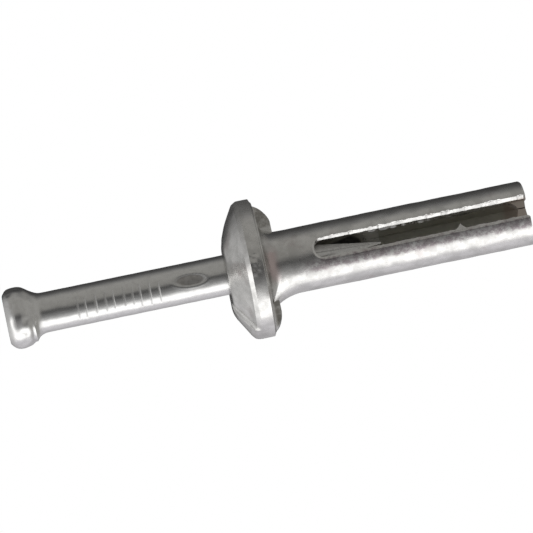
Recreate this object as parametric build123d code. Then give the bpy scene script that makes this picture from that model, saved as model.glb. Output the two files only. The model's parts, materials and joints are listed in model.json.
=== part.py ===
from build123d import *
from math import radians, sqrt, tan
import os

# Hammer-driven wall anchor: a one-piece die-cast zinc body with a mushroom head and a split
# sleeve, and a steel drive nail that stands part-way out of it, as the anchor is supplied.
# Frame: the origin is on the axis, in the plane where the head seats on the wall. +X points
# into the wall and +Z is up. The slot opens towards -Y. All sizes are in millimetres.

# Sleeve
sleeve_diameter = 6.3
sleeve_length = 26.0  # from the seating plane to the tip
tip_round = 0.4
neck_round = 1.6  # fillet between the head and the sleeve, a little longer than the ribs

# Slot that splits the sleeve into two legs
slot_start = 5.0  # from the seating plane to the slot's rounded end
slot_width = 2.07
kerf_width = 0.3  # split in the far wall, opposite the slot
split_gap = 0.03  # hairline between the legs, and between a leg and the collar
web_length = 1.15  # web that closes the slot at the tip until the nail tears it
web_inset = 0.3  # the web's depth below the sleeve's surface

# Mushroom head
head_diameter = 13.5
rim_thickness = 1.72
dome_height = 1.95
flank_angle = 31.0  # slope of the dome's side, in degrees
crown_round = 1.6
rim_round = 0.2
back_chamfer_depth = 0.22
back_chamfer_width = 0.5

# Ribs behind the head, in the plane where the halves of the casting die meet
rib_thickness = 1.8
upper_rib_length = 1.5
upper_rib_inset = 0.7  # from the head's edge to the rib's foot
upper_rib_shoulder = 1.85  # height of the rib's rounded outer side
lower_rib_length = 0.86
lower_rib_inset = 0.45
lower_rib_shoulder = 1.5

# Drive nail
nail_diameter = 3.9
nail_clearance = 0.05  # radial, in the bore
nail_head_diameter = 6.2
nail_head_corner = 0.5
nail_head_barrel = 2.5  # length of the head's bulging side
nail_head_cone = 0.7  # length of the cone under the head
nail_head_lip = 0.72  # how far the cone's wide end stands out from the shank
travel = 18.4  # bare shank between the dome and the nail's head
point_length = 5.6
point_blunt = 0.12  # half-width of the point's end
guide_length = 6.6  # full-size bore past the slot's start; the point rests at its end

# Spreading of the legs
leg_swing = 6.0  # how far each leg swings out when the nail is home, in degrees
groove_share = 0.95  # part of the room made by the swing that the nail's groove gives back

sleeve_radius = sleeve_diameter / 2
head_radius = head_diameter / 2
nail_radius = nail_diameter / 2
nail_head_radius = nail_head_diameter / 2
bore_radius = nail_radius + nail_clearance
crown_radius = head_radius - dome_height / tan(radians(flank_angle))
dome_top = -(rim_thickness + dome_height)
nail_neck = dome_top - travel
nail_end = nail_neck - nail_head_cone - nail_head_barrel
leg_root = slot_start + slot_width / 2  # centre of the slot's round end, where the legs hinge
nail_tip = slot_start + guide_length
nail_shoulder = nail_tip - point_length


def turned(points, rounds):
    """Solid turned about X from an outline of (along, radius) points, with a radius for each inner one."""
    outline = FilletPolyline(*points, radius=rounds)
    return revolve(make_face(outline + Line(points[-1], points[0])), Axis.X)


def rod(start, end, radius):
    return extrude(Plane.YZ.offset(start) * Circle(radius), end - start)


def block(low, high):
    size = [b - a for a, b in zip(low, high)]
    middle = [(a + b) / 2 for a, b in zip(low, high)]
    return Pos(*middle) * Box(*size)


def rib(length, inset, shoulder):
    """Rib on the head's +Z side: a flat plate whose outer corner is a quarter of an ellipse."""
    shoulder_height = head_radius - inset - shoulder
    corner = Pos(0, shoulder_height) * Ellipse(length, shoulder)
    stem = Pos(0, shoulder_height / 2) * Rectangle(2 * length, shoulder_height)
    behind_seat = Pos(length / 2, head_radius / 2) * Rectangle(length, head_radius)
    return extrude(Plane.XZ * ((corner + stem) & behind_seat), rib_thickness / 2, both=True)


def head_and_collar():
    """Mushroom head and the undivided part of the sleeve."""
    outline = [
        (dome_top, 0),
        (dome_top, crown_radius),
        (-rim_thickness, head_radius),
        (-back_chamfer_depth, head_radius),
        (0, head_radius - back_chamfer_width),
        (0, sleeve_radius),
        (leg_root, sleeve_radius),
        (leg_root, 0),
    ]
    body = turned(outline, [crown_round, rim_round, 0, 0, neck_round, 0])
    body += rib(upper_rib_length, upper_rib_inset, upper_rib_shoulder)
    body += Rot(180, 0, 0) * rib(lower_rib_length, lower_rib_inset, lower_rib_shoulder)
    return body - rod(dome_top - 1, leg_root + 1, bore_radius) - slot_opening()


def nail_groove():
    """Room for the nail past the guide bore: it runs out no faster than the leg swings clear."""
    swing_rate = radians(leg_swing) / travel
    guide = nail_tip - leg_root
    shoulder_gap = nail_shoulder - leg_root
    tightest = guide + sqrt(guide * (guide - shoulder_gap))
    slope = groove_share * swing_rate * (2 * tightest - shoulder_gap)
    start = Plane((nail_tip, 0, 0), x_dir=(0, 1, 0), z_dir=(1, 0, -slope))
    bore = rod(leg_root - 1, nail_tip + slope * bore_radius, bore_radius)
    return bore + extrude(start * Circle(bore_radius), sleeve_length)


def slot_opening():
    """Wide slot on the -Y side, with a round end, and the narrow kerf through the far wall."""
    half_width = slot_width / 2
    beyond = sleeve_length + 1
    wide = block((leg_root, -sleeve_diameter, -half_width), (beyond, bore_radius, half_width))
    round_end = Plane.XZ.offset(-bore_radius) * Pos(leg_root, 0) * Circle(half_width)
    kerf = block((leg_root, 0, -kerf_width / 2), (beyond, sleeve_diameter, kerf_width / 2))
    return wide + extrude(round_end, bore_radius + sleeve_diameter) + kerf


def leg():
    """Upper half of the split part of the sleeve; the lower one is its mirror image."""
    start = leg_root + split_gap
    outline = [(start, 0), (start, sleeve_radius), (sleeve_length, sleeve_radius), (sleeve_length, 0)]
    upper_half = block(
        (start, -sleeve_diameter, split_gap / 2), (sleeve_length, sleeve_diameter, sleeve_diameter)
    )
    half = (turned(outline, [0, tip_round]) & upper_half) - slot_opening() - nail_groove()
    web_low = (sleeve_length - web_length, web_inset - sleeve_radius, split_gap / 2)
    web_high = (sleeve_length, -bore_radius, slot_width / 2 + web_inset)
    return half + block(web_low, web_high)


def drive_nail():
    """Nail with a barrel-shaped head and a long four-sided point."""
    barrel_end = nail_end + nail_head_barrel
    cone_radius = nail_radius + nail_head_lip
    bevel = nail_head_corner / 2
    face_edge = (nail_end, nail_head_radius - nail_head_corner)
    side_start = (nail_end + bevel, nail_head_radius - bevel)
    widest = (nail_end + nail_head_barrel / 2, nail_head_radius)
    side = ThreePointArc(side_start, widest, (barrel_end, cone_radius))
    shank = Polyline((barrel_end, cone_radius), (nail_neck, nail_radius), (nail_tip, nail_radius))
    axis = Polyline((nail_tip, nail_radius), (nail_tip, 0), (nail_end, 0), face_edge)
    nail = revolve(make_face(Line(face_edge, side_start) + side + shank + axis), Axis.X)
    reach = nail_head_diameter
    upper_edge = [
        (nail_end - 1, reach),
        (nail_shoulder, reach),
        (nail_shoulder, nail_radius),
        (nail_tip, point_blunt),
    ]
    lower_edge = [(along, -height) for along, height in reversed(upper_edge)]
    wedge = make_face(Polyline(*upper_edge, *lower_edge, close=True))
    for plane in (Plane.XY, Plane.XZ):
        nail &= extrude(plane * wedge, reach, both=True)
    return nail


def main():
    os.makedirs("parts", exist_ok=True)
    upper_leg = leg()
    parts = {
        "head_and_collar": head_and_collar(),
        "upper_leg": upper_leg,
        "lower_leg": upper_leg.mirror(Plane.XY),
        "drive_nail": drive_nail(),
    }
    for name, part in parts.items():
        part.label = name
        export_step(part, f"parts/{name}.step")


main()
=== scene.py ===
import json
from math import asin, atan2, cos, pi, radians, sin, sqrt, tan

import bmesh
import bpy
import numpy as np
from mathutils import Matrix, Vector


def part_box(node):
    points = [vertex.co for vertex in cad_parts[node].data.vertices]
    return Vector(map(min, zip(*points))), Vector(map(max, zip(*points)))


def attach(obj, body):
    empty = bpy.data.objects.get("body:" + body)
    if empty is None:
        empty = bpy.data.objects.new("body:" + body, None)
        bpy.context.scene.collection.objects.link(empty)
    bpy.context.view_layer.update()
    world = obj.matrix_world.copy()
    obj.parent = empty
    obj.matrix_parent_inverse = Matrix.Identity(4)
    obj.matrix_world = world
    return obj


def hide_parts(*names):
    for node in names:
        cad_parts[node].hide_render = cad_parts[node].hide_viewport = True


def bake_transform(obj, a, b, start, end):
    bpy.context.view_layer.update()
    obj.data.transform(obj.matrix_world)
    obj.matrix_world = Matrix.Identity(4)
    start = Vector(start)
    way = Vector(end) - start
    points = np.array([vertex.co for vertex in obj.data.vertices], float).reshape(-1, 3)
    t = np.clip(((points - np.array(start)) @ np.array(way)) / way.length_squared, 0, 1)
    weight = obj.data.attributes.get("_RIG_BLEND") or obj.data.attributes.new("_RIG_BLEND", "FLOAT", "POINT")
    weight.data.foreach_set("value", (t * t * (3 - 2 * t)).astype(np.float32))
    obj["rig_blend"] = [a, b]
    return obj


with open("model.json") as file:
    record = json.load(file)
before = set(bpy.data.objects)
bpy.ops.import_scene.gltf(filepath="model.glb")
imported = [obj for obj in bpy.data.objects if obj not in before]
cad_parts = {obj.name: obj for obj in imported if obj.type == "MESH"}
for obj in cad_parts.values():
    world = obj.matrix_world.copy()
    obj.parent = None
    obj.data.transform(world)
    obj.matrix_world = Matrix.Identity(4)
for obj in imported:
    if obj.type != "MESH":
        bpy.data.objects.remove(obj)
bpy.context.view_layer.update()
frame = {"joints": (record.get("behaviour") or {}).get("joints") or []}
scene = bpy.context.scene
mm = 0.001  # meshes are worked out in millimetres and scaled once, in skinMesh
print("frame loaded")


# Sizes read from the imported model, in millimetres
headLow, headHigh = [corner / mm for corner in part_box("head_and_collar")]
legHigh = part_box("upper_leg")[1] / mm
nailLow, nailHigh = [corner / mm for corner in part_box("drive_nail")]
domeTop, headRadius, legRoot = headLow.x, headHigh.y, headHigh.x
sleeveEnd, sleeveRadius = legHigh.x, legHigh.z
nailEnd, nailTip, nailHeadRadius = nailLow.x, nailHigh.x, nailHigh.y
joints = {joint["name"]: joint for joint in frame["joints"]}
travel = joints["nail_drive"]["range_m"][1] / mm
legSwing = radians(joints["upper_leg_spread"]["range_deg"][1])


# Small tools for outlines and skins

def smooth(low, high, value):
    t = np.clip((value - low) / (high - low), 0, 1)
    return t * t * (3 - 2 * t)


def hump(value, middle, width):
    return np.exp(-((value - middle) / width) ** 2)


def ripple(points, size, seed, count=28):
    # a smooth random height about 0, with lumps about that size
    draw = np.random.default_rng(seed)
    directions = draw.normal(size=(count, 3))
    directions /= np.linalg.norm(directions, axis=1)[:, None]
    pitch = 2 * pi / size * draw.uniform(0.5, 1.3, count)
    phase = draw.uniform(0, 2 * pi, count)
    total = np.zeros(points.shape[:-1])
    for direction, rate, shift in zip(directions, pitch, phase):
        total += np.sin(points @ direction * rate + shift)
    return total / sqrt(count / 2)


def rounded(corners, rounds, step, facet=7):
    # an outline through the corners, each with its own fillet, with points every step along it;
    # facet is the turn in degrees between the points of a fillet
    corners = [np.array(corner, float) for corner in corners]
    path = [corners[0]]
    for before, corner, after, radius in zip(corners, corners[1:], corners[2:], rounds):
        inward, outward = corner - before, after - corner
        inward, outward = inward / np.linalg.norm(inward), outward / np.linalg.norm(outward)
        turn = atan2(inward[0] * outward[1] - inward[1] * outward[0], inward @ outward)
        if radius == 0:
            path.append(corner)
            continue
        start = corner - inward * radius * tan(abs(turn) / 2)
        side = np.array([-inward[1], inward[0]]) * (1 if turn > 0 else -1)
        steps = max(3, round(abs(turn) / radians(facet)))
        for share in np.linspace(0, 1, steps + 1):
            angle = abs(turn) * share
            path.append(start + radius * (inward * sin(angle) + side * (1 - cos(angle))))
    path.append(corners[-1])
    points = [path[0]]
    for here, there in zip(path, path[1:]):
        pieces = max(1, int(np.ceil(np.linalg.norm(there - here) / step)))
        points += [here + (there - here) * n / pieces for n in range(1, pieces + 1)]
    return np.array(points)


def spread(low, high, base, places):
    # positions from low to high, base apart, closer round each (place, width, spacing)
    samples = 6000
    fine = np.linspace(low, high, samples)
    density = np.full(fine.shape, 1 / base)
    for place, width, spacing in places:
        density = np.maximum(density, hump(fine, place, width) / spacing)
    total = np.concatenate([[0], np.cumsum((density[1:] + density[:-1]) / 2 * np.diff(fine))])
    return np.interp(np.linspace(0, total[-1], int(total[-1]) + 2), total, fine)


def skinMesh(name, skins, caps, material, sharpAngle=38):
    # joins grids of points and flat caps into one closed mesh, in metres; each comes with its mark,
    # the number that the materials read as the attribute "finish"
    weldDistance, shortestEdge = 2e-7, 1e-8  # metres
    points, faces, marks = [], [], []
    for grid, mark in skins:
        rows, columns = grid.shape[:2]
        first = len(points)
        points += [tuple(p) for p in grid.reshape(-1, 3)]
        marks += list(np.broadcast_to(mark, (rows, columns)).ravel())
        for row in range(rows - 1):
            for column in range(columns - 1):
                corner = first + row * columns + column
                faces.append((corner, corner + 1, corner + columns + 1, corner + columns))
    for loop, mark in caps:
        faces.append(tuple(range(len(points), len(points) + len(loop))))
        points += [tuple(p) for p in loop]
        marks += [mark] * len(loop)
    mesh = bpy.data.meshes.new(name)
    mesh.from_pydata([tuple(mm * value for value in p) for p in points], [], faces)
    mesh.attributes.new("finish", "FLOAT", "POINT").data.foreach_set("value", marks)
    work = bmesh.new()
    work.from_mesh(mesh)
    finish = work.verts.layers.float["finish"]
    twins = bmesh.ops.find_doubles(work, verts=work.verts, dist=weldDistance)["targetmap"]
    for twin, kept in twins.items():
        kept[finish] = min(kept[finish], twin[finish])
    bmesh.ops.weld_verts(work, targetmap=twins)
    bmesh.ops.dissolve_degenerate(work, edges=work.edges, dist=shortestEdge)
    bmesh.ops.recalc_face_normals(work, faces=work.faces)
    for face in work.faces:
        face.smooth = True
    for edge in work.edges:
        edge.smooth = len(edge.link_faces) == 2 and edge.calc_face_angle() < radians(sharpAngle)
    loose = sum(len(edge.link_faces) != 2 for edge in work.edges)
    work.to_mesh(mesh)
    work.free()
    piece = bpy.data.objects.new(name, mesh)
    scene.collection.objects.link(piece)
    mesh.materials.append(material)
    print(f"{name}: {len(mesh.polygons)} faces, {loose} open edges")
    return piece


def plate(outline, front, back, edge):
    # a thin closed plate in the XZ plane between two y values, its front face smaller by edge
    bevelDepth = 0.35  # share of the thickness
    outline = np.array(outline, float)
    middle = outline.mean(0)
    small = middle + (outline - middle) * (1 - edge)
    rings = [(small, front), (outline, front + (back - front) * bevelDepth), (outline, back)]
    grid = np.array([[(x, y, z) for x, z in np.vstack([ring, ring[:1]])] for ring, y in rings])
    return grid, [grid[0, :-1], grid[-1, :-1]]


# Materials

class Level:
    # a number that varies over a surface: ordinary operators add Math nodes
    def __init__(self, maker, socket):
        self.maker, self.socket = maker, socket

    def maths(self, operation, *values):
        return self.maker.add("ShaderNodeMath", {"operation": operation}, dict(enumerate(values)))

    def __add__(self, other):
        return self.maths("ADD", self, other)

    def __sub__(self, other):
        return self.maths("SUBTRACT", self, other)

    def __rsub__(self, other):
        return self.maths("SUBTRACT", other, self)

    def __mul__(self, other):
        return self.maths("MULTIPLY", self, other)

    def __pow__(self, other):
        return self.maths("POWER", self, other)

    __radd__, __rmul__ = __add__, __mul__

    def step(self, low, high):
        # 0 below low, 1 above high, smooth between
        settings = {"interpolation_type": "SMOOTHSTEP"}
        return self.maker.add("ShaderNodeMapRange", settings, {"Value": self, 1: low, 2: high})

    def fade(self, low, high):
        # 1 below low, 0 above high, smooth between
        return 1 - self.step(low, high)

    def between(self, rise, fall):
        # 1 from the end of rise to the start of fall
        return self.step(*rise) * self.fade(*fall)


class Nodes:
    def __init__(self, tree):
        self.tree = tree
        tree.nodes.clear()

    def add(self, kind, settings=None, inputs=None, output=0):
        node = self.tree.nodes.new(kind)
        for name, value in (settings or {}).items():
            if name == "stops":
                self.setStops(node.color_ramp, value)
            else:
                setattr(node, name, value)
        for name, value in (inputs or {}).items():
            if isinstance(value, Level):
                self.tree.links.new(value.socket, node.inputs[name])
            else:
                node.inputs[name].default_value = value
        return Level(self, node.outputs[output]) if node.outputs else node

    def setStops(self, ramp, stops):
        while len(ramp.elements) > 1:
            ramp.elements.remove(ramp.elements[-1])
        ramp.elements[0].position = stops[0][0]
        for position, _ in stops[1:]:
            ramp.elements.new(position)
        for element, (_, level) in zip(ramp.elements, stops):
            element.color = (level, level, level, 1) if isinstance(level, (int, float)) else (*level, 1)

    def blend(self, share, first, second):
        # colours mix through a Mix node
        colours = [c if isinstance(c, Level) else (*c, 1) for c in (first, second)]
        inputs = {0: share, 6: colours[0], 7: colours[1]}
        return self.add("ShaderNodeMix", {"data_type": "RGBA"}, inputs, 2)

    def noise(self, where, scale, detail=2.0, roughness=0.5):
        inputs = {"Vector": where, "Scale": scale, "Detail": detail, "Roughness": roughness}
        return self.add("ShaderNodeTexNoise", None, inputs)

    def cells(self, where, scale):
        return self.add("ShaderNodeTexVoronoi", None, {"Vector": where, "Scale": scale})

    def radius(self, where):
        # distance from the anchor's axis
        flat = self.scaled(where, (0, 1, 1))
        return self.add("ShaderNodeVectorMath", {"operation": "LENGTH"}, {0: flat}, "Value")

    def scaled(self, where, factors):
        return self.add("ShaderNodeVectorMath", {"operation": "MULTIPLY"}, {0: where, 1: factors})

    def attribute(self, name):
        return self.add("ShaderNodeAttribute", {"attribute_name": name}, None, "Fac")


def newMaterial(name):
    material = bpy.data.materials.new(name)
    material.use_nodes = True
    nodes = Nodes(material.node_tree)
    place = nodes.add("ShaderNodeTexCoord", None, None, "Object")
    return material, nodes, nodes.scaled(place, (1 / mm,) * 3)  # positions in millimetres


def finishMaterial(nodes, inputs):
    shader = nodes.add("ShaderNodeBsdfPrincipled", None, inputs)
    nodes.add("ShaderNodeOutputMaterial", None, {"Surface": shader})


zincLook = {
    "bright": (0.70, 0.69, 0.675),
    "dull": (0.50, 0.495, 0.48),
    "stain": (0.44, 0.385, 0.38),
    "lipStain": (0.33, 0.285, 0.30),  # dull streak below the slot
    # painted shade: a dark colour for the outer part of each rib, in the corner under the rim, and round the
    # nail where it leaves the dome
    "neckTint": (0.52, 0.40, 0.395),  # warm patch where the collar leaves the head
    "ribs": (0.23, 0.22, 0.20),
    "inside": (0.60, 0.59, 0.53),
    "shade": (0.10, 0.098, 0.09),  # deepest part of the bore, above the nail's point
    "fleck": (0.92, 0.92, 0.93),
    "web": (0.47, 0.40, 0.35),
    "litEnd": (0.80, 0.79, 0.75),
    "roughness": 0.23,
    "blotchSize": 1.3,  # mm
    "grainSize": 0.16,
    "bumpHeight": 5e-6,  # metres
    "zones": {  # where marks fade in or out: pairs in mm along the anchor, up, deep or from its axis
        "lipStain": {"along": (2.0, 5.5), "up": ((-2.15, -1.85), (-1.25, -1.0)), "deep": (-2.4, -1.6)},
        "neckTint": {"along": ((0.1, 0.5), (0.9, 1.7)), "bottom": (-2.4, -0.9), "top": (0.9, 1.9),
                      "deep": (-2.6, -2.0), "radius": (4.2, 5.2)},
        "ribs": {"along": (0.08, 0.3), "radius": (4.0, 4.6)},
        "mouthShade": {"along": (-3.2, -2.6), "radius": (2.6, 3.5)},
        "flecks": {"along": (3.0, 4.0), "bottom": (-3.1, -2.9), "top": (-1.2, -0.9)},
        "web": {"along": (23.6, 24.4), "radius": (2.5, 2.9)},
        "frost": {"along": ((-2.0, -1.6), (-0.3, 0.0)), "radius": (6.2, 6.5),
                  "up": ((0.6, 2.4), (6.0, 6.7))},
    },
}


def makeZinc(look):
    # as-cast zinc: bright skin with dull blotches, fine grain, pits and a few warm stains, with painted
    # shade on the ribs and round the nail's mouth
    material, nodes, place = newMaterial("zinc_casting")
    along, deep, up = [nodes.add("ShaderNodeSeparateXYZ", None, {0: place}, axis) for axis in "XYZ"]
    radius = nodes.radius(place)

    # marks all over the skin
    blotch = nodes.noise(place, 1 / look["blotchSize"], 4.0, 0.6).step(0.36, 0.66)
    grain = nodes.noise(place, 1 / look["grainSize"], 3.0, 0.6)
    stain = nodes.noise(place, 0.42, 3.0, 0.55).step(0.56, 0.72) * 0.45
    mottled = nodes.noise(place, 1.9, 4.0, 0.7).step(0.35, 0.6)
    coarse = nodes.noise(place, 1.1, 4.0, 0.7)  # makes the zones' edges uneven
    pits = nodes.cells(place, 2.6).fade(0.05, 0.13)
    specks = nodes.cells(nodes.scaled(place, (1.7, 2.3, 2.1)), 1.0).fade(0.03, 0.09)

    # marks in one place
    zones = look["zones"]
    zone = zones["lipStain"]
    edge = up + (nodes.noise(place, 1.4, 4.0, 0.65) - 0.5) * 1.1
    lipStain = edge.between(*zone["up"]) * along.step(*zone["along"]) * deep.fade(*zone["deep"])
    # painted shade, patchy, on the outer part of each rib where it meets the head under the rim
    zone = zones["ribs"]
    ribShade = along.step(*zone["along"]) * (radius + coarse).step(*zone["radius"])
    ribShade = ribShade * (0.3 + coarse.step(0.36, 0.58) * 0.7)
    # a warm, darker patch at the front of the neck, where the collar leaves the head
    zone = zones["neckTint"]
    neckTint = along.between(*zone["along"]) * (up + coarse * 1.5).fade(*zone["top"])
    neckTint = neckTint * (up + coarse).step(*zone["bottom"])
    neckTint = neckTint * deep.fade(*zone["deep"]) * radius.fade(*zone["radius"])
    # painted shadow: darker round the nail where it leaves the dome's top
    zone = zones["mouthShade"]
    mouthShade = along.fade(*zone["along"]) * (radius + coarse).fade(*zone["radius"])
    zone = zones["flecks"]
    flecks = nodes.cells(place, 1.9).fade(0.06, 0.13) * along.step(*zone["along"])
    flecks = flecks * (up - coarse).step(*zone["bottom"]) * (up + coarse).fade(*zone["top"])
    zone = zones["web"]
    web = along.step(*zone["along"]) * radius.fade(*zone["radius"])
    zone = zones["frost"]
    frost = along.between(*zone["along"]) * radius.step(*zone["radius"]) * up.between(*zone["up"])

    # the mesh's own mark: -1 lit end of the bore, 0 outer skin, 1 inside the bore, 2 its shade
    mark = nodes.attribute("finish")
    litEnd, inside, shade = mark.step(0.0, -1.0), mark.step(0.0, 1.0), mark.step(1.0, 2.0)

    colour = nodes.blend(blotch * 0.6, look["bright"], look["dull"])
    colour = nodes.blend(stain, colour, look["stain"])
    colour = nodes.blend(lipStain * mottled * 0.85, colour, look["lipStain"])
    colour = nodes.blend(neckTint * 0.7, colour, look["neckTint"])
    colour = nodes.blend(ribShade * 0.8, colour, look["ribs"])
    colour = nodes.blend(mouthShade * 0.6, colour, look["ribs"])
    colour = nodes.blend(pits * grain.step(0.5, 0.6) * 0.6, colour, look["dull"])
    colour = nodes.blend(flecks, colour, look["fleck"])
    colour = nodes.blend(inside, colour, look["inside"])
    colour = nodes.blend(shade, colour, look["shade"])
    colour = nodes.blend(web * 0.8, colour, look["web"])
    colour = nodes.blend(litEnd, colour, look["litEnd"])
    roughness = look["roughness"] + blotch * 0.09 + (grain - 0.5) * 0.16 + inside * 0.3 - specks * 0.1
    metal = (1 - inside * 0.6) * (1 - flecks * 0.7) * (1 - litEnd) * (1 - frost * 0.3)
    relief = grain + blotch * 0.6 - pits * 0.5 + specks * 0.5
    bump = {"Strength": 1.0, "Distance": look["bumpHeight"], "Height": relief}
    normal = nodes.add("ShaderNodeBump", None, bump)
    inputs = {"Base Color": colour, "Metallic": metal, "Roughness": roughness, "Normal": normal}
    finishMaterial(nodes, inputs)
    return material


nailLook = {
    "bright": (0.70, 0.695, 0.685),
    "dull": (0.54, 0.53, 0.52),
    "bruise": (0.27, 0.245, 0.225),
    "roughness": 0.21,
    "lineStretch": (0.22, 6.0, 6.0),  # the drawn lines are long along the shank and close across it
    "bumpHeight": 4e-6,  # metres
}


def makeNailSteel(look):
    # plated wire: lines drawn along the shank, finer mottling, and darker bruises in the dents
    material, nodes, place = newMaterial("nail_steel")
    lines = nodes.noise(nodes.scaled(place, look["lineStretch"]), 1.0, 4.0, 0.6)
    mottle = nodes.noise(place, 2.2, 4.0, 0.65)
    mark = nodes.attribute("finish")  # up to 0.5 is scuffed, and from there to 1 bruised
    scuff, bruise = mark.step(0.0, 0.5), mark.step(0.5, 1.0)
    colour = nodes.blend(mottle.step(0.4, 0.75) * 0.5, look["bright"], look["dull"])
    colour = nodes.blend(bruise * (mottle * 0.5 + 0.25), colour, look["bruise"])
    roughness = look["roughness"] + mottle * 0.1 + scuff * 0.25
    relief = lines + mottle * 0.5
    bump = {"Strength": 1.0, "Distance": look["bumpHeight"], "Height": relief}
    normal = nodes.add("ShaderNodeBump", None, bump)
    inputs = {"Base Color": colour, "Metallic": 1.0, "Roughness": roughness, "Normal": normal}
    finishMaterial(nodes, inputs)
    return material


zinc = makeZinc(zincLook)
nailSteel = makeNailSteel(nailLook)
print("materials made")


# Casting: the head, collar and both legs share one outer skin

casting = {
    "rimThickness": 1.72,
    "flankSlope": 31,  # degrees
    "crownRound": 1.6,
    "frontBevel": (0.16, 0.30),  # along the flank side and the rim side
    "backChamfer": (0.22, 0.5),
    "neckRound": 1.6,
    "boreRadius": 2.0,
    "mouthChamfer": (0.4, 0.16),  # length and width
    "slotStart": 5.0,
    "kerfWidth": 0.3,
    "lipWidth": 0.21,  # worn edge round the slot
    "lipSlope": 0.55,
    "upperBevel": (0.15, 0.21),  # ragged bevel along the upper lip, at its root and at the tip
    "upperSlope": 1.9,
    "upperSag": (0.22, 0.3),  # how far the upper lip hangs into the slot, and its width
    "lowerBurr": (0.15, 0.1),  # height and width of the burr along the lower lip
    "partingAngle": 73,  # degrees below the horizontal where the die's halves meet on the dome
    "partingStep": 0.33,  # how far the lower edge of the back half stands out there
    "partingFace": 0.24,  # how wide the face of that step is
    "partingRadii": (2.7, 4.4),  # the step grows between these
    "partingEnd": (175, 125),  # and fades towards the back, in degrees
    "crownSag": 0.20,  # how much lower the crown is at the top
    "crownSagPlace": (3.4, 1.0),  # radius and width
    "seamHeight": 0.02,  # flash line along the top and bottom of the sleeve
    "seamWidth": 0.08,
    "rimBruise": 0.03,
    "rimBruisePlace": (-0.9, 0.45),  # along the anchor, and width
    "rimBruiseAngles": ((0, 4), (24, 14)),  # degrees below the horizontal
    "waviness": 0.006,
    "waveSizes": (1.5, 4.5),
    "domeSkin": (-1.3, -2.2),  # from the rim to the dome, along the anchor
}
ribs = {
    "thickness": 1.8,
    "draft": 0.16,
    "foot": 0.04,  # how much wider a rib is where it leaves the head
    "fullness": 1.5,  # 2 is an ellipse, less is flatter
    "lowerFillet": (4.75, 3.3, 2.85),  # radius, end along the sleeve and half width
    "upper": (1.5, 0.7, 1.85),  # length, inset from the head's edge, height of the rounded side
    "lower": (0.80, 0.45, 1.5),
}
slotStart = casting["slotStart"]
slotHalf = legRoot - slotStart
seatFrom = -0.05  # x from which the skin belongs to the head's underside
kerfHalf = casting["kerfWidth"] / 2
bore = casting["boreRadius"]


def columnShares():
    # where the lengthwise lines run from the slot's edge (0) round to the kerf (1)
    places = [(0, 0.035, 0.0022), (0.42, 0.012, 0.004), (0.45, 0.02, 0.0045), (0.55, 0.02, 0.0045)]
    return spread(0, 1, 0.0105, places)


columns = columnShares()


def halfGap(x):
    # half the slot's opening at x, through its round end
    return np.sqrt(np.clip(slotHalf ** 2 - np.clip(legRoot - x, 0, slotHalf) ** 2, 0, None))


def lipDistance(x, z):
    # distance outside the slot's outline, on the sleeve's skin
    return np.where(x < legRoot, np.hypot(x - legRoot, z) - slotHalf, np.abs(z) - slotHalf)


def ribHeight(side, r):
    length, inset, shoulder = side
    flat = headRadius - inset - shoulder
    rise = np.clip((r - flat) / shoulder, 0, 1)
    return length * (1 - rise ** ribs["fullness"]) ** (1 / ribs["fullness"])


def raggedness(x, seed):
    # an uneven number from 0 to 1.3 along the slot
    line = np.stack([x, 0 * x, 0 * x], -1)
    return np.clip(0.5 + 0.45 * ripple(line, 0.9, seed) + 0.3 * ripple(line, 0.35, seed + 1), 0, 1.3)


def domeLedge(r, angle, side):
    # the die's halves don't match: the crown is lower at the top, and there is a step further down
    values = casting
    if side > 0:
        middle, width = values["crownSagPlace"]
        sag = values["crownSag"] * hump(r, middle, width) * smooth(bore + 0.2, middle - 0.1, r)
        return -sag * np.sin(angle) ** 2
    beyond = r * (angle - radians(values["partingAngle"]))
    last, full = values["partingEnd"]
    ledge = values["partingStep"] * smooth(0, values["partingFace"], beyond)
    ledge *= smooth(radians(last), radians(full), angle)
    return ledge * smooth(*values["partingRadii"], r)


def withFillet(x, y, r):
    # the collar sweeps up to the head under the lower rib
    sweep, end, width = ribs["lowerFillet"]
    rise = sweep - np.sqrt(sweep ** 2 - np.clip(end - x, 0, end) ** 2)
    rise *= smooth(width, 0, np.abs(y))
    clearOfRim = r < headRadius - 2
    return np.where((x > seatFrom) & clearOfRim, np.maximum(r, sleeveRadius + rise), r)


def rimBruises(points, x, r, angle):
    # knocks on the rim, near the front and below the axis
    place, width = casting["rimBruisePlace"]
    bruised = hump(x, place, width) * (r > headRadius - 0.3)
    for start, end in casting["rimBruiseAngles"]:
        bruised = bruised * smooth(radians(start), radians(end), angle)
    return casting["rimBruise"] * ripple(points, 0.55, 14) * bruised


def nearLip(away, width):
    # 1 at the slot's edge, less and less beside it
    return np.exp(-np.clip(away, 0, 9) / width)


def wornLip(away):
    # how far the worn edge of the slot lies behind the skin
    worn = np.clip(casting["lipWidth"] - away, 0, None)
    return casting["lipSlope"] * worn * smooth(0, 0.3 * casting["lipWidth"], worn)


def raggedBevel(x, away):
    # the same for the upper lip, which is wider, steeper and torn
    ragged = raggedness(x, 21) * smooth(slotStart + 0.2, slotStart + 2, x)
    near, far = casting["upperBevel"]
    bevel = near + (far - near) * (x - legRoot) / (sleeveEnd - legRoot) + 0.05 * (ragged - 0.5)
    drop = casting["upperSlope"] * np.clip(bevel - away, 0, None)
    return drop - 0.025 * ragged * hump(away, bevel, 0.05)


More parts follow.
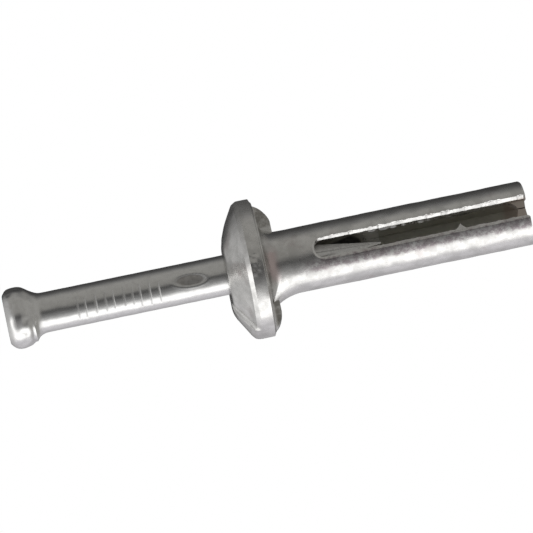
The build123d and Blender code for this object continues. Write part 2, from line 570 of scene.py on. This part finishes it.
def castingSkin(x, r, angle, side):
    # moves points of the plain turned shape to the cast skin: angle from -Y, side 1 up or -1 down
    y, z = -r * np.cos(angle), side * r * np.sin(angle)
    onSeat = (x > seatFrom) & (r > sleeveRadius + 1e-4)  # the ribs stand here
    shape = ribs["upper"] if side > 0 else ribs["lower"]
    half = ribs["thickness"] / 2
    across = 1 - smooth(half - ribs["draft"], half + ribs["foot"], np.abs(y))
    x = np.where(onSeat, np.maximum(x, ribHeight(shape, r) * across), x)
    points = np.stack([x, y, z], -1)

    # lift is how far the skin stands out: waves, the dome's step and the flash line
    onHead = smooth(0.1, -0.1, x) * smooth(domeTop, domeTop + 0.3, x)
    onDome = smooth(*casting["domeSkin"], x)
    small, large = casting["waveSizes"]
    dents = casting["waviness"] * (ripple(points, small, 11) + ripple(points, large, 12))
    dents *= 1 - 0.5 * smooth(legRoot - 1, legRoot, x) * smooth(legRoot + 1, legRoot, x)
    lift = dents - 2.2 * casting["waviness"] * onHead + domeLedge(r, angle, side) * onDome
    seam = hump(r * (angle - pi / 2), 0, casting["seamWidth"]) * smooth(legRoot - 3, legRoot - 2, x)
    lift += casting["seamHeight"] * seam
    if side < 0:
        r = withFillet(x, y, r)
        y, z = -r * np.cos(angle), -r * np.sin(angle)
        lift += rimBruises(points, x, r, angle)
    slope = radians(casting["flankSlope"])
    outX = -cos(slope) * smooth(-1.6, -1.9, x)
    outR = np.sqrt(1 - outX ** 2)

    # the slot's edges
    away = lipDistance(x, z)
    onFront = (y < 0) & (x > 3)
    drop = np.where(onFront, wornLip(away), 0)
    if side > 0:
        chosen = onFront * smooth(slotStart + 0.05, slotStart + 0.4, x)
        drop = drop * (1 - chosen) + raggedBevel(x, away) * chosen
        depth, width = casting["upperSag"]
        sag = depth * smooth(slotStart, slotStart + 1, x)
        z = np.where(onFront, z - sag * nearLip(away, width), z)
    else:
        height, width = casting["lowerBurr"]
        burr = height * (0.7 + 0.3 * raggedness(x, 51)) * smooth(slotStart + 0.1, slotStart + 1.2, x)
        z = np.where(onFront, z + burr * nearLip(away, width), z)
    lift = lift * smooth(0, 0.25, np.where(onFront, away, 1))
    return np.stack([x + lift * outX, y + drop - lift * outR * np.cos(angle),
                     z + side * lift * outR * np.sin(angle)], -1)


def outerGrid(stations, side, lastHalf):
    # one half of the outer skin: from the slot's edge to the kerf's edge, at each (x, r) station
    rows = []
    for x, r in stations:
        first = asin(float(halfGap(np.array(x))) / r) if x > slotStart else 0.0
        last = pi - asin(lastHalf / r)
        angle = first + (last - first) * columns
        rows.append(castingSkin(np.full(angle.shape, x), np.full(angle.shape, r), angle, side))
    return np.array(rows)


def slotStations():
    # closer together where the round end turns
    count = 22
    return legRoot - slotHalf * np.cos(np.linspace(0, 1, count) * pi / 2)


def wallGrid(edges, inner):
    # slot wall from the outer skin's edge points to the bore's edge points, denser at both edges
    shares = np.array([0, 0.06, 0.15, 0.3, 0.5, 0.7, 0.85, 0.94, 1])[None, :, None]
    return edges[:, None, :] * (1 - shares) + inner[:, None, :] * shares


def headOutline():
    # half the head's section, from the bore's mouth over the dome and rim to the collar
    values = casting
    slope = tan(radians(values["flankSlope"]))
    rimStart = -values["rimThickness"]
    crown = headRadius - (rimStart - domeTop) / slope
    flankBack, rimBack = values["frontBevel"]
    chamferDepth, chamferWidth = values["backChamfer"]
    sharp = 0.07
    corners = [
        (domeTop, bore + values["mouthChamfer"][1]),
        (domeTop, crown),
        (rimStart - flankBack, headRadius - flankBack / slope),
        (rimStart + rimBack, headRadius),
        (-chamferDepth, headRadius),
        (0, headRadius - chamferWidth),
        (0, sleeveRadius),
        (slotStart - 0.3, sleeveRadius),
    ]
    rounds = [values["crownRound"], sharp, sharp, 0.08, 0.08, values["neckRound"]]
    return rounded(corners, rounds, 0.11)


def makeHead():
    # marks: 0 outer skin, more inside the bore
    boreMark, slotEndMark, cutMark = 0.8, 0.45, 0.5
    split = slotStations()
    collar = np.linspace(slotStart - 0.27, slotStart, 10)
    sleeveX = np.concatenate([collar, split[1:]])
    stations = [tuple(p) for p in headOutline()] + [(x, sleeveRadius) for x in sleeveX]
    plainBore = np.linspace(domeTop + casting["mouthChamfer"][0], slotStart, 12)
    boreLine = np.concatenate([[domeTop], plainBore, split[1:]])
    skins = []
    for side in (1, -1):
        outer = outerGrid(stations, side, 0)
        inner = []
        for x in boreLine:
            first = asin(float(halfGap(np.array(x))) / bore)
            angle = first + (pi - first) * columns
            y, z = -bore * np.cos(angle), side * bore * np.sin(angle)
            inner.append(np.stack([0 * angle + x, y, z], -1))
        inner = np.array(inner)
        inner[0] = outer[0]
        count = len(split)
        slotEnd = wallGrid(outer[-count:, 0], inner[-count:, 0])
        cut = wallGrid(outer[-1], inner[-1])
        skins += [(outer, 0.0), (inner, boreMark), (slotEnd, slotEndMark), (cut, cutMark)]
    return skinMesh("head_and_collar_casting", skins, [], zinc)


tipDetails = {
    "round": 0.4,
    "webStart": 1.5,  # all of the web's places are from the sleeve's end
    "webEnd": (0.12, 0.2),  # beside the wall and on the centre line
    "webInset": 0.95,
    "webBack": 0.9,
    "webNotch": {1: 1.2, -1: 0.4},  # how much further the opening reaches on the centre line
    "nib": (18.4, 19.25, 19.95, 0.72),  # start, peak, end along the sleeve, and height
    "nibDepth": (0.22, 0.43),  # its front and back, from the sleeve's skin
    "innerBurr": 0.19,
    "burrPlace": ((8, 11), (22, 19)),  # where the burr inside the slot grows and ends
    "darkPart": (6.3, 9.1, 10.0),  # start, widest place and end of the shade above the nail's point
    "brightPart": (9.6, 10.6),  # where the bore's end catches light
}


def grooveDrop(x):
    # how far the nail's groove has left the axis: as fast as the swinging leg allows
    slack, spare = 0.9, 0.035
    reach = np.clip(x - legRoot, 0, None)
    drop = slack * legSwing / travel * reach * (reach + spare)
    return np.where(x > nailTip, drop, 0)


def legStations():
    # (x, r) along a leg, with its rounded end
    roundStart = sleeveEnd - tipDetails["round"]
    straight = spread(legRoot, roundStart, 0.115, [(legRoot, 0.3, 0.05), (nailTip, 0.2, 0.03)])
    turn = np.linspace(0, 0.999, 9)[1:] * pi / 2
    tipX = roundStart + tipDetails["round"] * np.sin(turn)
    tipR = sleeveRadius - tipDetails["round"] * (1 - np.cos(turn))
    return [(x, sleeveRadius) for x in straight] + list(zip(tipX, tipR))


def grooveSection(x):
    # (y, z) from the kerf at the back, round the nail's groove, to the front
    drop = float(grooveDrop(np.array(x)))
    narrowest = 0.5
    reach = bore ** 2 - (slotHalf + drop) ** 2
    edge = max(narrowest, sqrt(reach)) if reach > 0 else narrowest
    flat = [(bore, z) for z in np.linspace(kerfHalf, slotHalf, 4)]
    ledge = [(y, slotHalf) for y in np.linspace(bore, edge, 5)[1:]]
    arc = []
    for share in np.linspace(0, 1, 33)[1:]:
        y = edge * cos(pi * share)
        arc.append((y, max(slotHalf, sqrt(bore ** 2 - y ** 2) - drop)))
    return flat + ledge + arc


def grooveMarks(inner):
    # 1 in the groove, towards 2 in the shade above the nail's point, -1 where the bore ends
    x, y, z = inner[:, :, 0], inner[:, :, 1], np.abs(inner[:, :, 2])
    start, widest, end = tipDetails["darkPart"]
    top = 1.15 + 0.5 * (x - start) / (widest - start)
    slant = end + 0.5 - 1.5 * (z - 1.0)
    dark = smooth(start - 0.8, start + 0.6, x) * smooth(slant, slant - end + widest, x)
    dark *= smooth(top + 0.15, top - 0.1, z) * (y > 0)
    lit = smooth(*tipDetails["brightPart"], x) * (x < nailTip + 0.05)
    return 1.0 + dark - 2.0 * lit


def webPlate(side):
    # this leg's half of the thin web that joins the legs at the tip
    across = np.linspace(0.02, slotHalf + 0.1, 9)
    start = sleeveEnd - tipDetails["webStart"]
    notch = tipDetails["webNotch"][side]
    curve = [(start + 0.5 - notch * (z / slotHalf) ** 2, side * z) for z in across]
    besideWall, onCentre = tipDetails["webEnd"]
    outline = curve + [(sleeveEnd - besideWall, side * across[-1])]
    outline.append((sleeveEnd - onCentre, side * across[0]))
    front = -sleeveRadius + tipDetails["webInset"]
    return plate(outline, front, front + tipDetails["webBack"], 0.05)


def nibPlate():
    # the small tooth that stands up from the lower lip
    start, peak, end, height = tipDetails["nib"]
    low = -slotHalf - 0.05
    outline = [(start, low), (peak - 0.3, low + height * 0.45), (peak, low + height),
               (peak + 0.14, low + height * 0.7), (end, low)]
    front, back = tipDetails["nibDepth"]
    return plate(outline, front - sleeveRadius, back - sleeveRadius, 0.12)


def makeLeg(name, side):
    wallMark, kerfMark, cutMark, webMark, nibMark = 0.5, 0.6, 0.1, 0.35, 0.0
    stations = legStations()
    outer = outerGrid(stations, side, kerfHalf)
    inner, kerf = [], []
    for (x, r), row in zip(stations, outer):
        inner.append([(x, y, side * z) for y, z in grooveSection(x)])
        kerf.append([(x, y, side * kerfHalf) for y in np.linspace(row[-1][1], bore, 4)])
        kerf[-1][0] = tuple(row[-1])
    inner, kerf = np.array(inner), np.array(kerf)
    wall = wallGrid(outer[:, 0], inner[:, -1])
    along = inner[:, -1, 0]
    grows, ends = tipDetails["burrPlace"]
    ragged = tipDetails["innerBurr"] * (0.45 + 0.55 * raggedness(along, 31 + side))
    ragged *= smooth(*grows, along) * smooth(*ends, along)
    wall[:, -2, 2] -= side * ragged
    wallMarks = np.full(wall.shape[:2], wallMark)
    wallMarks[:, -3:-1] = wallMark - wallMark * smooth(9, 12, along)[:, None]  # the burr is bright
    skins = [(outer, 0.0), (wall, wallMarks), (inner, grooveMarks(inner)), (kerf, kerfMark)]
    caps = []
    for end in (0, -1):
        loop = np.vstack([outer[end][:-1], kerf[end][:-1], inner[end][:-1], wall[end][::-1][:-1]])
        caps.append((loop, cutMark))
    plates = [(webPlate(side), webMark)]
    if side < 0:
        plates.append((nibPlate(), nibMark))
    for (grid, ends), mark in plates:
        skins.append((grid, mark))
        caps += [(loop, mark) for loop in ends]
    return skinMesh(name, skins, caps, zinc)


head = makeHead()
legs = {"upper_leg": makeLeg("upper_leg_casting", 1), "lower_leg": makeLeg("lower_leg_casting", -1)}
print("casting made")


# Drive nail

nailValues = {
    "shankRadius": 1.95,
    "shoulderLength": 3.6,  # quicker taper, inside the collar
    "pointLength": 6.4,  # slender four-sided point
    "pointHalf": 0.92,
    "pointBlunt": 0.07,
    "neckFromEnd": 3.2,
    "gripStart": -18.4,
    "gripPitch": 0.9,
    "gripCount": 10,
    "gripDepth": 0.034,
    "gripWidth": (0.07, 0.11),
    "gripMiddle": (-26, -14),  # degrees above the horizontal
    "gripReach": (30, 44),  # degrees each way from there
    "dentPlace": (-7.2, -7.0),  # along the shank in mm, and degrees above the horizontal
    "dentSize": (1.7, 0.68),  # half length and half width
    "dentDepth": 0.10,
    "dentRim": 0.012,
    "headBurr": 0.24,
    "headPits": 9,
    "headPitSize": (0.16, 0.34),
    "headWear": 0.018,
    "shankWear": 0.004,
}


def gripMarks(x, turned, draw):
    # the row of uneven pressed lines: how far they lift the skin, and their marks
    values = nailValues
    lift, marks = np.zeros(x.shape), np.zeros(x.shape)
    lean = 0.01 * turned
    for n in range(values["gripCount"]):
        place = values["gripStart"] + values["gripPitch"] * (n + draw.uniform(-0.22, 0.22))
        reach = radians(draw.uniform(*values["gripReach"]))
        middle = radians(draw.uniform(*values["gripMiddle"]))
        width = draw.uniform(*values["gripWidth"])
        depth = values["gripDepth"] * draw.uniform(0.5, 1.1)
        mask = smooth(reach, reach * 0.7, np.abs(turned - middle))
        lift -= depth * hump(x - lean, place, width) * mask
        lift += 0.4 * depth * hump(x - lean, place + 2 * width, width) * mask
        marks = np.maximum(marks, 0.5 * hump(x - lean, place, 1.3 * width) * mask)
    return lift, marks


def shankDent(points, x, r, turned):
    # an oval dent with a slightly raised rim, and its mark
    values = nailValues
    along, above = values["dentPlace"]
    halfLength, halfWidth = values["dentSize"]
    across = r * (turned - radians(above) + 0.03 * (x - along))
    away = np.hypot((x - along) / halfLength, across / halfWidth)
    dent = smooth(1.05, 0.62, away)
    lift = values["dentRim"] * hump(away, 1.12, 0.12)
    return lift - dent * values["dentDepth"] * (1 + 0.05 * ripple(points, 0.6, 43)), dent


def nailSkin(x, r, angle):
    # moves points of the plain turned shape to the worn skin, and gives their marks
    values = nailValues
    points = np.stack([x, -r * np.cos(angle), r * np.sin(angle)], -1)
    turned = np.mod(angle + pi, 2 * pi) - pi  # from -Y, between -pi and pi
    draw = np.random.default_rng(5)
    onShank = smooth(nailEnd + 3.5, nailEnd + 4.5, x) * smooth(domeTop, domeTop - 0.4, x)
    onHead = smooth(nailEnd + 3.4, nailEnd + 2.8, x)
    lift = values["shankWear"] * (ripple(points, 1.6, 41) - 2) * onShank
    lift += values["headWear"] * (ripple(points, 1.3, 42) - 1.7) * onHead
    gripLift, gripMark = gripMarks(x, turned, draw)
    dentLift, dentMark = shankDent(points, x, r, turned)
    lift += gripLift + dentLift
    for n in range(values["headPits"]):
        place, middle = nailEnd + draw.uniform(0.5, 2.1), radians(draw.uniform(-75, 60))
        size = draw.uniform(*values["headPitSize"])
        away = np.hypot(x - place, r * (turned - middle))
        lift -= 0.16 * size * hump(away, 0, size) * smooth(2, 2.6, r)
    burr = hump(x, nailEnd + 2.62, 0.16) * hump(turned, -pi / 2 + 0.25, 0.7)
    lift += values["headBurr"] * burr
    r = r + lift * smooth(0.4, 1.2, r)
    return np.stack([x, -r * np.cos(angle), r * np.sin(angle)], -1), np.maximum(gripMark, dentMark)


def nailOutline():
    # the barrel-shaped head and the neck, to the start of the shank
    shank, neck = nailValues["shankRadius"], nailEnd + nailValues["neckFromEnd"]
    corners = [
        (nailEnd, 0.15),
        (nailEnd, nailHeadRadius - 0.72),
        (nailEnd + 0.4, nailHeadRadius - 0.24),
        (nailEnd + 1.2, nailHeadRadius),
        (nailEnd + 2.0, nailHeadRadius - 0.24),
        (nailEnd + 2.6, nailHeadRadius - 0.68),
        (neck + 0.2, shank),
        (neck + 1.2, shank),
    ]
    return rounded(corners, [0.3, 0.9, 1.6, 1.2, 0.3, 1.1], 0.09)


def pointRow(x, angle, point, shoulder):
    # one section of the four-sided point, with the stripes that the rolled faces have
    values = nailValues
    share = (nailTip - x) / values["pointLength"]
    flat = values["pointBlunt"] + (values["pointHalf"] - values["pointBlunt"]) * share
    flat += (values["shankRadius"] - flat) * smooth(point, shoulder, x)
    square = flat / np.maximum(np.abs(np.cos(angle)), np.abs(np.sin(angle)))
    r = np.minimum(values["shankRadius"], square)
    turned = np.mod(angle + pi, 2 * pi) - pi
    stripe = 0.9 * hump(turned, -0.42, 0.12) * smooth(7.6, 6.0, x) + 0.5 * hump(turned, 0.12, 0.07)
    row = np.stack([0 * angle + x, -r * np.cos(angle), r * np.sin(angle)], -1)
    return row, stripe * smooth(nailTip, nailTip - 1.5, x)


def makeNail():
    values = nailValues
    outline = nailOutline()
    point = nailTip - values["pointLength"]
    shoulder = point - values["shoulderLength"]
    gripMiddle = values["gripStart"] + values["gripPitch"] * values["gripCount"] / 2
    places = [(gripMiddle, 6.5, 0.05), (values["dentPlace"][0], 1.9, 0.07)]
    shankX = spread(outline[-1][0], shoulder, 0.4, places)[1:]
    angle = np.linspace(0, 2 * pi, 161)
    rows, marks = [], []
    for x, r in [tuple(p) for p in outline] + [(x, values["shankRadius"]) for x in shankX]:
        row, mark = nailSkin(np.full(angle.shape, x), np.full(angle.shape, r), angle)
        rows.append(row)
        marks.append(mark)
    for x in np.linspace(shoulder, nailTip, 60)[1:]:
        row, mark = pointRow(x, angle, point, shoulder)
        rows.append(row)
        marks.append(mark)
    grid = np.array(rows)
    grid[:, -1] = grid[:, 0]
    caps = [(grid[0, :-1], 0.0), (grid[-1, :-1], 0.0)]
    return skinMesh("drive_nail_steel", [(grid, np.array(marks))], caps, nailSteel, sharpAngle=30)


nail = makeNail()
print("nail made")


# Each piece rides its body; the legs bend where they leave the collar

bendLength = 3.0
bendStart = (legRoot * mm, 0, 0)
bendEnd = ((legRoot + bendLength) * mm, 0, 0)
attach(head, "anchor_body")
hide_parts("head_and_collar")
for legName, leg in legs.items():
    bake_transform(leg, "anchor_body", legName, bendStart, bendEnd)
    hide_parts(legName)
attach(nail, "nail")
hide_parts("drive_nail")


# Studio: pale floor, wrap-round light and the camera

studio = {
    "floorHeight": -0.16,
    "floorSize": 12.0,
    "floorColour": (0.86, 0.86, 0.85, 1),
    "cameraElevation": -13.6,
    "cameraTurn": -2.5,
    "cameraRoll": 11.7,
    "cameraDistance": 0.45,
    "frameWidth": 51.4,  # mm across the picture
    "aim": 0.31,  # mm along the anchor
    "clip": (0.01, 50),
}
studioLight = {
    # level or colour at each angle round the anchor's long axis: 0 in front, 90 above
    "round": [
        (-180, (0.50, 0.495, 0.51)), (-160, (0.55, 0.54, 0.56)), (-140, (0.70, 0.69, 0.72)),
        (-122, (0.88, 0.87, 0.91)), (-109, (0.84, 0.83, 0.86)), (-97, 1.9), (-70, 1.9),
        (-58, 0.62), (-38, 0.27), (-22, 0.14), (-13.6, 0.035), (-7, 0.15),
        (4, (0.315, 0.31, 0.295)), (70, (0.365, 0.36, 0.345)), (90, 0.19), (106, 0.09),
        (130, 0.055), (172, 0.05), (180, 0.50),
    ],
    "nailEnd": [(0.08, 1.7), (0.25, 1.0), (0.5, 0.62), (0.9, 0.42)],  # from the floor (0) up (1)
    "sleeveEnd": (0.38, 0.375, 0.36),
    "panel": (1.7, 1.7, 1.7),  # low in front of the nail's end
    "background": (1.0, 1.0, 1.0),
}


def makeFloor(values):
    bpy.ops.mesh.primitive_plane_add(size=values["floorSize"], location=(0, 0, values["floorHeight"]))
    floor = bpy.context.object
    floor.name = "studio_floor"
    floor.visible_glossy = False  # the wrap-round light is what the metal mirrors
    material = bpy.data.materials.new("floor_paint")
    material.use_nodes = True
    shader = material.node_tree.nodes["Principled BSDF"]
    shader.inputs["Base Color"].default_value = values["floorColour"]
    shader.inputs["Roughness"].default_value = 0.8
    floor.data.materials.append(material)


def makeWorld(values):
    # light that changes round the anchor's long axis, with other light beyond its two ends
    world = bpy.data.worlds.new("studio_light")
    scene.world = world
    world.use_nodes = True
    nodes = Nodes(world.node_tree)
    direction = nodes.add("ShaderNodeTexCoord", None, None, "Generated")
    along, deep, up = [nodes.add("ShaderNodeSeparateXYZ", None, {0: direction}, axis) for axis in "XYZ"]
    turn = up.maths("ARCTAN2", up, deep * -1.0) * (0.5 / pi) + 0.5
    stops = [((angle + 180) / 360, level) for angle, level in values["round"]]
    around = nodes.add("ShaderNodeValToRGB", {"stops": stops}, {0: turn})
    ends = nodes.add("ShaderNodeValToRGB", {"stops": values["nailEnd"]}, {0: up * 0.5 + 0.5})
    ends = nodes.blend(along.step(-0.3, 0.5), ends, values["sleeveEnd"])
    panel = along.fade(-0.6, -0.3) * deep.fade(-0.3, 0.0) * up.fade(-0.25, 0.0)
    ends = nodes.blend(panel, ends, values["panel"])
    sideways = along.maths("ABSOLUTE", along).step(0.36, 0.82)
    light = nodes.blend(sideways, around, ends)
    seen = nodes.add("ShaderNodeLightPath", None, None, "Is Camera Ray")
    light = nodes.blend(seen, light, values["background"])
    shader = nodes.add("ShaderNodeBackground", None, {"Color": light, "Strength": 1.0})
    nodes.add("ShaderNodeOutputWorld", None, {"Surface": shader})


def makeCamera(values):
    turn, rise = radians(values["cameraTurn"]), radians(values["cameraElevation"])
    back = Vector((sin(turn), -cos(turn) * cos(rise), cos(turn) * sin(rise))).normalized()
    level = (Vector((1, 0, 0)) - back * back.x).normalized()
    over = back.cross(level)
    roll = radians(values["cameraRoll"])
    right = cos(roll) * level - sin(roll) * over
    up = sin(roll) * level + cos(roll) * over
    data = bpy.data.cameras.new("camera")
    data.sensor_width = 36
    data.lens = data.sensor_width * values["cameraDistance"] / (values["frameWidth"] * mm)
    data.clip_start, data.clip_end = values["clip"]
    camera = bpy.data.objects.new("camera", data)
    scene.collection.objects.link(camera)
    camera.location = Vector((values["aim"] * mm, 0, 0)) + back * values["cameraDistance"]
    axes = np.array([right, up, back]).T
    camera.rotation_mode = "QUATERNION"
    camera.rotation_quaternion = Matrix(axes.tolist()).to_quaternion()
    scene.camera = camera


makeFloor(studio)
makeWorld(studioLight)
makeCamera(studio)
scene.view_settings.view_transform = "Standard"
print("studio made")
